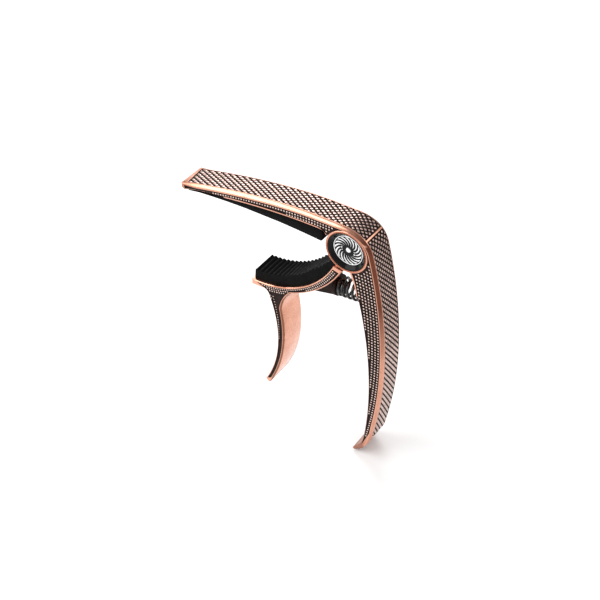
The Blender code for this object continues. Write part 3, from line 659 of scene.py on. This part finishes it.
def knurled(falling, rising, start, end):
    """A flat sheet of separate lands between two families of grooves, one unit apart each way."""
    first = int(min(np.interp(start[0], falling.at, way.count) for way in (falling, rising))) - 9
    last = int(max(np.interp(end[0], falling.at, way.count) for way in (falling, rising))) + 10
    many = last - first
    shape = bmesh.new()
    bmesh.ops.create_grid(shape, x_segments=many, y_segments=many, size=0.5)
    bmesh.ops.split_edges(shape, edges=shape.edges[:])
    middles = np.array([face.calc_center_median()[:2] for face in shape.faces])
    u, v = (first + (middles.T[i] + 0.5) * many for i in (0, 1))
    s, y = crossing(falling, rising, u, v)
    on_face = (abs(y) < HALF + 2 * MM) & (s > start[0] - 14 * MM) & (s < end[0] + 14 * MM)
    bmesh.ops.delete(shape, geom=[f for f, on in zip(shape.faces, on_face) if not on], context="FACES")
    middles, s, u, v = middles[on_face], s[on_face], u[on_face], v[on_face]
    keep_u, keep_v = (1 - 2 * np.interp(s, way.at, way.gap) for way in (falling, rising))
    corners = np.array([[vert.co[:2] for vert in face.verts] for face in shape.faces])
    for i in range(4):
        corner = (corners[:, i] - middles) * many
        spots = zip(*crossing(falling, rising, u + corner[:, 0] * keep_u, v + corner[:, 1] * keep_v))
        for face, (along, across) in zip(shape.faces, spots):
            face.verts[i].co = (along, across, 0)
    bmesh.ops.remove_doubles(shape, verts=shape.verts, dist=0.004 * MM)
    clip(shape, start, end, PANEL_HALF - 0.1 * MM)
    slivers = [face for face in shape.faces if face.calc_area() < 0.1 * MM**2]
    bmesh.ops.delete(shape, geom=slivers, context="FACES")
    return shape

knurl = knurl_material("worn_knurl", (0.68, 0.48, 0.42))
# Each stop: distance from the tip, pitch along the face, angle to it, share of the pitch that each land
# gives up to a groove on either side.
BAR_FALLING = Grooves(1, [
    (0, 3.1, 26.5, 0.15), (14, 2.84, 28, 0.16), (54, 2.48, 31.5, 0.17), (62, 2.25, 34.5, 0.17),
    (67, 1.86, 39.5, 0.17), (71, 1.75, 42, 0.17),
])
BAR_RISING = Grooves(-1, [
    (0, 3.05, 27, 0.03), (22, 2.9, 27, 0.06), (46, 2.5, 30.5, 0.11), (54, 2.25, 34, 0.13),
    (67, 1.78, 40.5, 0.17), (71, 1.75, 42, 0.17),
])
HANDLE_FALLING = Grooves(1, [
    (70, 1.78, 42, 0.17), (82, 1.85, 41, 0.16), (96, 2.0, 39, 0.1), (114, 2.2, 38, 0), (160, 2.5, 38, 0),
])
HANDLE_RISING = Grooves(-1, [
    (70, 1.82, 41, 0.17), (86, 1.88, 39.5, 0.17), (102, 2.03, 38, 0.17), (118, 2.25, 35, 0.16),
    (134, 2.48, 32.5, 0.15), (160, 2.8, 30.5, 0.14),
])
for name, falling, rising, panel in (
    ("bar_knurling", BAR_FALLING, BAR_RISING, BAR_PANEL),
    ("handle_knurling", HANDLE_FALLING, HANDLE_RISING, HANDLE_PANEL),
):
    edge = 0.35 * MM
    inside = ((panel[0][0] + edge, panel[0][1]), (panel[1][0] - edge, panel[1][1]))
    lands = knurled(falling, rising, *inside)
    raise_lands(lands, SUNK, 0.1 * MM, 0.17 * MM)
    lay(lands, lambda s, y, height: on_outer(s, y, height - SUNK))
    knurling = piece_of(name, lands, knurl)
    shade(knurling, 50)
    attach(knurling, "frame")

# Side studs
# Rows of tiny raised studs fill the sunk panels on both sides of the casting. They are cast with it, and
# their tops are rubbed to a paler copper than the knurling.

def inside_line(point, outline):
    """True if the point lies inside a closed line."""
    x, z = point
    hits = 0
    for (ax, az), (bx, bz) in zip(outline, outline[1:] + outline[:1]):
        if (az > z) != (bz > z) and x < (bx - ax) * (z - az) / (bz - az) + ax:
            hits += 1
    return hits % 2 == 1

worn_studs = knurl_material("worn_studs", (0.93, 0.70, 0.62))

def studs(outline, place, columns, rows, size):
    """A flat sheet of small squares laid out in curved rows by place, and kept where they fit the outline.
    columns and rows are each a first place, a last place and a pitch."""
    (left, right, wide), (low, high, tall) = columns, rows
    across, up = int((right - left) / wide), int((high - low) / tall)
    shape = bmesh.new()
    bmesh.ops.create_grid(shape, x_segments=across, y_segments=up, size=0.5)
    bmesh.ops.split_edges(shape, edges=shape.edges[:])
    outside = []
    for face in shape.faces:
        middle = face.calc_center_median()
        a, b = left + (middle.x + 0.5) * across * wide, low + (middle.y + 0.5) * up * tall
        for vert in face.verts:
            corner = vert.co - middle
            right_way, up_way = (math.copysign(size / 2, part) for part in corner[:2])
            vert.co = (*place(a + right_way, b + up_way), 0)
        corners = [tuple(vert.co[:2]) for vert in face.verts]
        if not all(inside_line(corner, outline) for corner in corners):
            outside.append(face)
        elif any(math.dist(corner, hub) < BOSS_RADIUS for corner in corners):
            outside.append(face)
    bmesh.ops.delete(shape, geom=outside, context="FACES")
    return shape

def stud_rows(name, body, *layout):
    """The same rows of studs on the near side and on the far side."""
    for side, label in ((-1, "near"), (1, "far")):
        lands = studs(*layout)
        raise_lands(lands, SUNK - 0.03 * MM, 0.07 * MM, 0.1 * MM)
        lay(lands, lambda x, z, height: Vector((x, side * (HALF - SUNK + height), z)))
        row = piece_of(f"{name}_{label}", lands, worn_studs)
        shade(row, 50)
        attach(row, body)

def beside_top(along, down):
    """A point on the bar's side, by its X and its depth under the outer band."""
    return along, bar_top(along) - BAND - 0.25 * MM + down

def beside_outer(inward, z):
    """A point on the handle's side, by its depth behind the outer band and its Z."""
    return handle_outer(z) - BAND - 0.25 * MM + inward, z

stud_rows(
    "bar_side_studs", "frame", side_panel(), beside_top,
    (TIP_X + 2.0 * MM, PIVOT_X - 4.0 * MM, 1.02 * MM), (-8.0 * MM, 0, 0.98 * MM), 0.55 * MM,
)
stud_rows(
    "handle_side_studs", "frame", side_panel(), beside_outer,
    (-8.96 * MM, 0, 1.12 * MM), (HOOK_Z + 8.0 * MM, PIVOT_Z - 0.5 * MM, 1.15 * MM), 0.58 * MM,
)

# Badges
# A black enamelled cup closes each end of the pivot. It holds a thin silver-plated disc, pressed with
# a plain fan of curved flutes round a small dot, black between the flutes.

def enamel():
    material, tree, shader = new_material("black_enamel", (0.008, 0.008, 0.009), 0.12, 0.0)
    drift(tree, shader, "Base Color", add_noise(tree, 500, 3), (0.3, 0.002), (0.8, 0.006))
    drift(tree, shader, "Roughness", add_noise(tree, 900, 3), (0.3, 0.08), (0.8, 0.2))
    shader.inputs["Specular IOR Level"].default_value = 0.14
    return material

def plated():
    material, tree, shader = new_material("silver_plate", (0.9, 0.9, 0.88), 0.16, 1.0)
    drift(tree, shader, "Base Color", add_noise(tree, 900, 3), (0.3, 0.80), (0.8, 0.95))
    drift(tree, shader, "Roughness", add_noise(tree, 1800, 3), (0.3, 0.12), (0.8, 0.26))
    return material

black, silver = enamel(), plated()
rim, cup_back = (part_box("badge_bezel_far")[i].y for i in (1, 0))
face, disc_back = (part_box("badge_rosette_far")[i].y for i in (1, 0))
cup_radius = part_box("badge_bezel_far")[1].x - PIVOT_X
disc_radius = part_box("badge_rosette_far")[1].x - PIVOT_X
FLUTES = 17

def flute():
    """One flute of the fan: a narrow curved blade that widens outwards."""
    shape = bmesh.new()
    bmesh.ops.create_grid(shape, x_segments=9, y_segments=2, size=0.5)
    thicken(shape, -0.05 * MM, 0.08 * MM)
    for vert in shape.verts:
        share = vert.co.x + 0.5
        radius = 2.0 * MM + share * 2.65 * MM
        width = math.radians(360 / FLUTES) * (0.10 + 0.40 * share**0.8)
        angle = 0.62 * share**1.4 + vert.co.y * width
        swell = 0.05 * MM * (1 - abs(vert.co.y) * 2) if vert.co.z > 0 else 0
        vert.co = (radius * math.cos(angle), radius * math.sin(angle), vert.co.z + swell)
    return shape

for side, label in ((-1, "near"), (1, "far")):
    lip = 0.12 * MM
    cup = [(0, cup_back), (cup_radius - lip, cup_back), (cup_radius, cup_back + lip)]
    cup += [(cup_radius, rim - lip), (cup_radius - lip * 0.3, rim - lip * 0.3), (cup_radius - lip, rim)]
    cup += [(cup_radius - 0.28 * MM, rim), (cup_radius - 0.42 * MM, rim - 0.1 * MM)]
    cup += [(disc_radius + 0.45 * MM, face + 0.28 * MM), (disc_radius + 0.1 * MM, face + 0.04 * MM)]
    cup += [(disc_radius + 0.1 * MM, disc_back - 0.1 * MM), (0, disc_back - 0.1 * MM)]
    bezel = piece_of(f"badge_cup_{label}", turned([(r, side * y) for r, y in cup]), black)
    shade(bezel)
    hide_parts(f"badge_bezel_{label}")
    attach(bezel, "frame")

    sunk = face - 0.12 * MM
    profile = [(0, disc_back), (disc_radius, disc_back), (disc_radius, face - 0.04 * MM)]
    profile += [(disc_radius - 0.04 * MM, face), (disc_radius - 0.24 * MM, face)]
    profile += [(disc_radius - 0.3 * MM, sunk), (0.84 * MM, sunk)]
    profile += [(0.77 * MM, face - 0.05 * MM), (0.6 * MM, face), (0, face)]
    plate = turned([(r, side * y) for r, y in profile])
    for part in plate.faces:
        level = part.calc_center_median()
        away = math.dist((level.x, level.z), hub)
        flat = abs(abs(level.y) - sunk) < 0.01 * MM
        part.material_index = 1 if flat and 0.8 * MM < away < disc_radius - 0.28 * MM else 0
    blade = flute()
    bmesh.ops.spin(
        blade, geom=blade.faces[:], cent=(0, 0, 0), axis=(0, 0, 1), angle=math.tau * (FLUTES - 1) / FLUTES,
        steps=FLUTES - 1, use_duplicate=True,
    )
    lay(blade, lambda a, b, up: Vector((PIVOT_X + a, side * (sunk + up), PIVOT_Z + b)))
    fan_mesh = bpy.data.meshes.new("fan")
    blade.to_mesh(fan_mesh)
    blade.free()
    plate.from_mesh(fan_mesh)
    rosette = piece_of(f"badge_fan_{label}", plate, silver, black)
    shade(rosette, 35)
    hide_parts(f"badge_rosette_{label}")
    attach(rosette, "frame")

# Lower arm
# The lower arm is the second casting, plated and blackened like the first: a cradle that takes the neck
# pad, a tongue that runs into the boss, a web for the spring, and the trigger. It turns on the pivot.
ARM = {"radius": 34.1 * MM, "heel": -26.0, "root": -67.0, "landing": -84.0, "end": -92.0}
offset = ARM["radius"] + 2.12 * MM
bearing = math.radians(168.53)
CRADLE_CENTRE = (PIVOT_X + offset * math.cos(bearing), PIVOT_Z + offset * math.sin(bearing))
BELLY = PIVOT_Z - 44.5 * MM
TRIGGER_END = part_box("lower_arm")[0].z + 0.7 * MM

def cradle_point(radius, angle):
    turn = math.radians(angle)
    return CRADLE_CENTRE[0] + radius * math.cos(turn), CRADLE_CENTRE[1] + radius * math.sin(turn)

def cradle_wall(angle):
    """The cradle's thickness, greatest at the heel."""
    share = min(1, max(0, (ARM["heel"] + 1.5 - angle) / (ARM["heel"] + 1.5 - ARM["root"])))
    return 3.2 * MM - 1.1 * MM * share**0.8

def trigger_front(z):
    radius = 57 * MM
    return PIVOT_X - 27.3 * MM + 2.8 * MM - radius + math.sqrt(radius**2 - (z - BELLY) ** 2)

def trigger_back(z):
    radius = 50 * MM
    return PIVOT_X - 27.3 * MM - radius + math.sqrt(radius**2 - (z - BELLY + 2.6 * MM) ** 2)

def front_line():
    """From the heel, under the cradle and down the trigger's front to its end."""
    first = ARM["heel"] + 1.5
    points = [cradle_point(ARM["radius"] + cradle_wall(a), a) for a in stations(first, ARM["root"], 36)]
    top_z = BELLY + 9.5 * MM
    top = (trigger_front(top_z), top_z)
    points += bend(points[-1], (top[0] + 0.9 * MM, top_z + 5.5 * MM), top, 15)
    return points + [(trigger_front(z), z) for z in stations(top_z, TRIGGER_END, 44)]

def back_line():
    """Up the trigger's back to the end of the cradle."""
    points = [(trigger_back(z), z) for z in stations(TRIGGER_END + 0.4 * MM, BELLY + 12.5 * MM, 44)]
    landing = cradle_point(ARM["radius"] + 2.1 * MM, ARM["landing"])
    corner = (points[-1][0] - 0.5 * MM, landing[1] - 0.4 * MM)
    return points + bend(points[-1], corner, landing, 12) + [landing]

def arm_line():
    """The arm's outline: over the cradle, round the heel, down the trigger's front and up its back."""
    points = [cradle_point(ARM["radius"], angle) for angle in stations(ARM["end"], ARM["heel"], 60)]
    points += front_line()
    toe = points[-1][0] - 0.9 * MM
    points += [(toe + 0.45 * MM, TRIGGER_END - 0.6 * MM), (toe, TRIGGER_END - 0.68 * MM)]
    end = [cradle_point(ARM["radius"] + 2.1 * MM, a) for a in stations(ARM["landing"], ARM["end"], 6)[1:]]
    return points + back_line() + end

def arm_widths(points):
    """The band's width: broader down the trigger's front, narrow elsewhere."""
    widths = []
    for (x, z), along in zip(points, tangents(points)):
        share = min(1, max(0, (BELLY + 18 * MM - z) / (6 * MM)), max(0, (z - TRIGGER_END) / (3 * MM)))
        widths.append(EDGE + 0.32 * MM * share if -along.y > 0.3 else EDGE)
    return widths

def arm_side_panel():
    """The sunk panel on the arm's side: along the cradle between two bright rims, and down the trigger."""
    start = stations(ARM["heel"] - 1.6, -89, 50)
    under = [point for point in front_line() if point[1] > TRIGGER_END + 1.2 * MM]
    widths = [0.42 * MM + 0.3 * MM * min(1, max(0, (BELLY + 18 * MM - z) / (6 * MM))) for x, z in under]
    behind = [point for point in back_line() if point[1] > TRIGGER_END + 1.2 * MM]
    points = inset_line(under, widths, closed=False)[2:]
    points += inset_line(behind, [0.32 * MM] * len(behind), closed=False)
    return points + [cradle_point(ARM["radius"] + 0.42 * MM, a) for a in reversed(start)]

neck_end = cradle_point(ARM["radius"] + 1.6 * MM, ARM["heel"] - 3)
along_neck = Vector((neck_end[0] - PIVOT_X, neck_end[1] - PIVOT_Z)).normalized()
neck_side = Vector((-along_neck.y, along_neck.x)) * 1.4 * MM
tongue = [Vector(hub) + neck_side, Vector(hub) - neck_side]
tongue += [Vector(neck_end) - neck_side, Vector(neck_end) + neck_side]
seat_x = PIVOT_X - 5.5 * MM
low_seat = SPRING_MIDDLE.z - 3.2 * MM
web = [(seat_x - 0.55 * MM, SPRING_MIDDLE.z + 2.04 * MM)]
web += [cradle_point(ARM["radius"] + 1.05 * MM, angle) for angle in stations(-36, -62, 8)]
web += [(seat_x - 9.05 * MM, low_seat - 2.1 * MM), (seat_x - 0.55 * MM, low_seat)]
to_seat = seat_x - SPRING_MIDDLE.x
ARM_LINE = arm_line()
arm_casting = piece_of("lower_arm_casting", banded(ARM_LINE, arm_widths(ARM_LINE), HALF), copper, patina_and_shade)
carve(
    arm_casting,
    list(both_sides(arm_side_panel()))
    + [
        ("UNION", drum(hub, 5.2 * MM, -1.6 * MM, 1.6 * MM, 1)),
        ("UNION", slab([tuple(corner) for corner in tongue], -1.4 * MM, 1.4 * MM, 1)),
        # The spring web takes the dark patina slot; its dark stands partly for the shade it sits in, as
        # painted shade.
        ("UNION", slab(web, -2.25 * MM, 2.25 * MM, 1)),
        ("UNION", rod(3.6 * MM, to_seat - 1.1 * MM, to_seat, 1)),
        ("UNION", rod(1.9 * MM, to_seat - 0.9 * MM, to_seat + 1.6 * MM, 1)),
        ("DIFFERENCE", drum(hub, 2.75 * MM, -HALF, HALF, 1)),
    ],
)

def arm_bright_share(x, y, z):
    """Bright, with brown in the middle of the trigger's front band, a painted dark reflection."""
    dark_reflection_band = 0.03 * MM < HALF - abs(y) < 0.5 * MM and z < BELLY + 20 * MM
    return 0.25 if dark_reflection_band and x > trigger_back(min(z, BELLY + 12 * MM)) + 1.6 * MM else 1.0

store_bright_share(arm_casting, arm_bright_share)
shade(arm_casting)
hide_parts("lower_arm")
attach(arm_casting, "arm")

def round_cradle(along, outward):
    """A point on the cradle's side, by its place round the cradle and its depth under the inner rim."""
    return cradle_point(ARM["radius"] + outward, math.degrees(along / ARM["radius"]))

def down_trigger(inward, z):
    """A point on the trigger's side, by its depth behind the front band and its Z."""
    return trigger_front(z) - 0.72 * MM + inward, z

stud_rows(
    "cradle_side_studs", "arm", arm_side_panel(), round_cradle,
    (-52.9 * MM, -16 * MM, 0.9 * MM), (0.48 * MM, 2.9 * MM, 0.78 * MM), 0.5 * MM,
)
stud_rows(
    "trigger_side_studs", "arm", arm_side_panel(), down_trigger,
    (-2.9 * MM, -0.08 * MM, 1.0 * MM), (TRIGGER_END + 1.4 * MM, BELLY + 14.5 * MM, 1.05 * MM), 0.44 * MM,
)

# Pads
# Both pads are solid black silicone mouldings. The string pad is keyed into the bar's underside and has
# a cambered face; the neck pad is a curved strip with rounded ribs across it, bonded into the cradle.

def silicone():
    material, tree, shader = new_material("black_silicone", (0.02, 0.02, 0.02), 0.55, 0.0)
    # Darker than black silicone is: partly painted shade, since the pads sit mostly in shadow.
    drift(tree, shader, "Base Color", add_noise(tree, 400, 4), (0.3, 0.0012), (0.75, 0.0035))
    shader.inputs["Specular IOR Level"].default_value = 0.05
    drift(tree, shader, "Roughness", add_noise(tree, 1200, 3), (0.3, 0.45), (0.75, 0.68))
    add_bump(tree, shader, add_noise(tree, 5000, 2), 0.25, 0.03 * MM)
    return material

rubber = silicone()
pad_low, pad_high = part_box("string_pad")
PAD_HALF = pad_high.y

def string_pad_line():
    """Along the bar's underside, and back along the cambered pressing face."""
    left, right = pad_low.x, pad_high.x
    flat, camber = 6 * MM, 260 * MM

    def face(x):
        return -max(0, x**2 - flat**2) / (2 * camber)

    points = [(x, bar_underside(x) - 0.1 * MM) for x in stations(left + 0.15 * MM, right - 1.6 * MM, 50)]
    corner = (right, UNDER_Z - 1.0 * MM)
    points += bend(points[-1], corner, (right, UNDER_Z - 2.4 * MM), 8)
    points += [(right, UNDER_Z - 2.4 * MM)]
    low = face(right - 0.6 * MM)
    landing = (right - 1.2 * MM, face(right - 1.2 * MM))
    points += bend(points[-1], (right - 0.1 * MM, low + 0.1 * MM), landing, 8)
    points += [(x, face(x)) for x in stations(right - 1.2 * MM, left + 0.9 * MM, 60)]
    tip = (left + 0.15 * MM, bar_underside(left + 0.15 * MM) - 0.1 * MM)
    return points + bend(points[-1], (left, face(left) + 0.1 * MM), tip, 6)

def neck_pad_line():
    """Round the back of the pad from the trigger's end to the heel, and back over its ribs."""
    crest = ARM["radius"] - 4.0 * MM
    start, end = ARM["end"] + 1.5, ARM["heel"] + 1
    points = [cradle_point(ARM["radius"] - 0.1 * MM, a) for a in stations(start, end, 60)]
    pitch = math.degrees(1.7 * MM / crest)
    ribs = int((end - start) / pitch)
    for i in range(ribs * 10 + 1):
        angle = end - i * pitch / 10
        thinning = 2.1 * MM * max(0, (angle + 42) / (end + 42))
        wave = 0.5 - 0.5 * math.cos(math.tau * (i / 10 + 0.5))
        valley = 0.55 * MM * (1 - wave**0.6)
        points.append(cradle_point(crest + thinning + valley, angle))
    return points

for name, node, body, line, edge in (
    ("string_pad_moulding", "string_pad", "frame", string_pad_line(), 0.45 * MM),
    ("neck_pad_moulding", "neck_pad", "arm", neck_pad_line(), 0.16 * MM),
):
    moulding = piece_of(name, banded(line, [edge] * len(line), PAD_HALF), rubber)
    if node == "string_pad":
        rail_low, rail_high = TIP_X + 5.2 * MM, PIVOT_X - BOSS_RADIUS - 4.2 * MM
        rail = [(x, bar_underside(x) + 0.8 * MM) for x in stations(rail_low, rail_high, 30)]
        rail += [(x, bar_underside(x) - 0.5 * MM) for x in stations(rail_high, rail_low, 30)]
        carve(moulding, [("UNION", slab(rail, -2.5 * MM, 2.5 * MM))])
    shade(moulding, 40)
    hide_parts(node)
    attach(moulding, body)

# Spring
# A black spring-steel compression spring with closed ends. One end sits round the arm's spigot and the
# other in the handle's pocket; it is made as one fixed coil.

def spring_steel():
    material, tree, shader = new_material("black_spring_steel", (0.03, 0.03, 0.033), 0.25, 1.0)
    drift(tree, shader, "Base Color", add_noise(tree, 900, 3), (0.35, 0.03), (0.8, 0.13))
    drift(tree, shader, "Roughness", add_noise(tree, 1600, 3), (0.3, 0.18), (0.8, 0.36))
    return material

WIRE = 0.95 * MM
TURNS = 5.9
CLOSED = 0.7  # turns at each end that are wound close
COIL_REACH = 3.4 * MM - WIRE / 2
pocket_x = handle_inner(SPRING_MIDDLE.z) + 1.3 * MM
middle_x = (seat_x + pocket_x) / 2
wire_start = seat_x + 0.2 * MM + WIRE / 2
wire_end = pocket_x - 0.2 * MM - WIRE / 2
closed_pitch = WIRE + 0.12 * MM
open_pitch = (wire_end - wire_start - 2 * CLOSED * closed_pitch) / (TURNS - 2 * CLOSED)
coil = bpy.data.curves.new("spring_wire", "CURVE")
coil.dimensions = "3D"
coil.bevel_depth = WIRE / 2
coil.bevel_resolution = 4
coil.use_fill_caps = True
count = int(TURNS * 36)
line = coil.splines.new("POLY")
line.points.add(count)
middle = Vector((middle_x, 0, SPRING_MIDDLE.z))
set_in = Matrix.Translation(middle) @ Matrix.Rotation(-SPRING_TILT, 4, "Y")
for point, turns in zip(line.points, stations(0, TURNS, count)):
    flat = min(turns, CLOSED) + max(0, turns - TURNS + CLOSED)
    x = wire_start + flat * closed_pitch + (turns - flat) * open_pitch
    angle = math.tau * turns
    spot = Vector((x - middle_x, -COIL_REACH * math.sin(angle), COIL_REACH * math.cos(angle)))
    point.co = (*(set_in @ spot), 1)
wire_object = bpy.data.objects.new("spring_wire", coil)
bpy.context.scene.collection.objects.link(wire_object)
spring_mesh = bpy.data.meshes.new_from_object(
    wire_object.evaluated_get(bpy.context.evaluated_depsgraph_get())
)
bpy.data.objects.remove(wire_object)
wire = bmesh.new()
wire.from_mesh(spring_mesh)
bmesh.ops.remove_doubles(wire, verts=wire.verts, dist=0.002 * MM)
bmesh.ops.recalc_face_normals(wire, faces=wire.faces)
wire.to_mesh(spring_mesh)
wire.free()
spring_mesh.materials.clear()
spring_mesh.materials.append(spring_steel())
spring = bpy.data.objects.new("clamp_spring_coil", spring_mesh)
bpy.context.scene.collection.objects.link(spring)
shade(spring, 40)
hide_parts("clamp_spring")
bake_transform(spring)

# Pivot pin, bush and washers
# A steel pin runs through the boss and is held by a spring ring under the near badge. The arm turns on it
# on a bronze bush between two nylon washers. Only their edges show, inside the slot.

def brushed(name, colour, roughness, metallic):
    """Plain turned stock with fine marks round it."""
    material, tree, shader = new_material(name, colour, roughness, metallic)
    darker = tuple(value * 0.7 for value in colour)
    drift(tree, shader, "Base Color", add_noise(tree, 1200, 3), (0.3, colour), (0.8, darker))
    wear = add_noise(tree, 2200, 3)
    drift(tree, shader, "Roughness", wear, (0.3, roughness * 0.8), (0.8, roughness * 1.3))
    return material

steel = brushed("bright_steel", (0.62, 0.62, 0.61), 0.28, 1.0)
bronze = brushed("bronze", (0.56, 0.36, 0.16), 0.35, 1.0)
nylon = brushed("white_nylon", (0.80, 0.79, 0.75), 0.5, 0.0)
for node, material, slot in (
    ("pivot_pin", steel, "bright_steel"), ("pin_retaining_ring", steel, "bright_steel"),
    ("pivot_bush", bronze, "bronze"),
    ("thrust_washer_near", nylon, "white_nylon"), ("thrust_washer_far", nylon, "white_nylon"),
):
    turned_node = frame["nodes"][node]
    turned_node.data.materials.clear()
    turned_node.data.materials.append(material)
